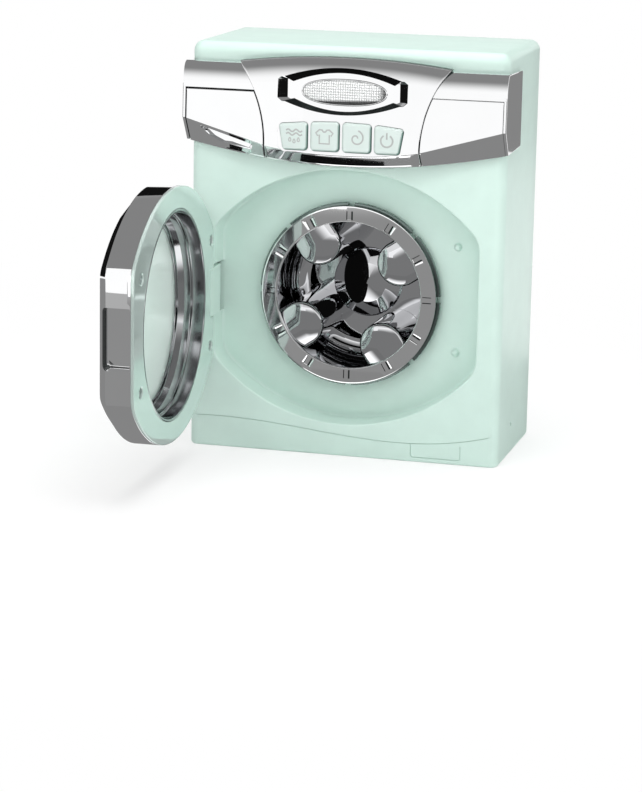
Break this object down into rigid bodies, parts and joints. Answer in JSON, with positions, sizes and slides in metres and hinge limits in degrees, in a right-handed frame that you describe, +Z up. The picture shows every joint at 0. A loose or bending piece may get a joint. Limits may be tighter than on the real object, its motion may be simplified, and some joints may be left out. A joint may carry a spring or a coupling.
{
  "type": "toy washing machine",
  "caption": "Front-loading toy washing machine with hinged round door, spinning drum driven by a geared motor, pull-out detergent drawer and push buttons.",
  "frame": {"origin": "middle of the flat base, on the surface that it stands on", "axes": "+Z up, front with door and panel towards -Y, +X to the viewer's right when facing the front"},
  "size_m": [0.2296, 0.2986, 0.285],
  "materials": {
    "mint_plastic": "semi-gloss moulded",
    "chrome_plated_plastic": "vacuum-plated mirror chrome on plastic",
    "tinted_clear": "clear tinted plastic",
    "clear_lens": "clear textured plastic",
    "steel": "plain",
    "white_plastic": "satin",
    "bush_metal": "plain",
    "board_green": "lacquered",
    "dark_plastic": "satin"
  },
  "bodies": {
    "cabinet": {"front_shell": "mint_plastic", "rear_cover": "mint_plastic", "battery_door": "mint_plastic", "batteries": "dark_plastic", "battery_contacts": "steel", "panel_frame": "chrome_plated_plastic", "panel_centre": "chrome_plated_plastic", "panel_right": "chrome_plated_plastic", "drawer_guide": "mint_plastic", "lens_bezel": "chrome_plated_plastic", "light_lens": "clear_lens", "led_lamp": "clear_lens", "circuit_board": "board_green", "speaker": "dark_plastic", "button_switches": "dark_plastic", "drum_frame": "mint_plastic", "shaft_bush": "bush_metal", "motor": "steel", "hinge_pin": "steel", "case_screws": "steel"},
    "drawer": {"drawer_front": "chrome_plated_plastic", "drawer_tray": "mint_plastic"},
    "drum": {"drum_ring": "chrome_plated_plastic", "drum_bowl": "chrome_plated_plastic", "drum_shaft": "steel", "drum_gear": "white_plastic"},
    "pinion": {"motor_shaft": "steel", "motor_pinion": "white_plastic"},
    "door": {"door_frame": "chrome_plated_plastic", "door_back": "chrome_plated_plastic", "door_tunnel": "chrome_plated_plastic", "door_window": "tinted_clear", "door_screws": "steel", "hinge_arm": "mint_plastic"},
    "button_1": {"button_1": "mint_plastic"},
    "button_2": {"button_2": "mint_plastic"},
    "button_3": {"button_3": "mint_plastic"},
    "button_4": {"button_4": "mint_plastic"}
  },
  "joints": [
    {"name": "door_hinge", "type": "hinge", "parent": "cabinet", "child": "door", "pos_m": [-0.105, -0.0475, 0.112], "axis": [0, 0, 1], "range_deg": [-9, 89]},
    {"name": "drum_spin", "type": "hinge", "parent": "cabinet", "child": "drum", "pos_m": [0, 0, 0.112], "axis": [0, 1, 0], "continuous": true},
    {"name": "pinion_spin", "type": "hinge", "parent": "cabinet", "child": "pinion", "pos_m": [0.0242, 0, 0.08316], "axis": [0, 1, 0], "continuous": true},
    {"name": "drawer_slide", "type": "slide", "parent": "cabinet", "child": "drawer", "axis": [0, -1, 0], "range_m": [0, 0.04]},
    {"name": "button_1_press", "type": "slide", "parent": "cabinet", "child": "button_1", "axis": [0, 1, 0], "range_m": [0, 0.0018], "stiffness_N_per_m": 400, "springref_m": -0.0005},
    {"name": "button_2_press", "type": "slide", "parent": "cabinet", "child": "button_2", "axis": [0, 1, 0], "range_m": [0, 0.0018], "stiffness_N_per_m": 400, "springref_m": -0.0005},
    {"name": "button_3_press", "type": "slide", "parent": "cabinet", "child": "button_3", "axis": [0, 1, 0], "range_m": [0, 0.0018], "stiffness_N_per_m": 400, "springref_m": -0.0005},
    {"name": "button_4_press", "type": "slide", "parent": "cabinet", "child": "button_4", "axis": [0, 1, 0], "range_m": [0, 0.0018], "stiffness_N_per_m": 400, "springref_m": -0.0005}
  ],
  "couplings": [
    {"joint": "pinion_spin", "follows": "drum_spin", "ratio": -4}
  ]
}
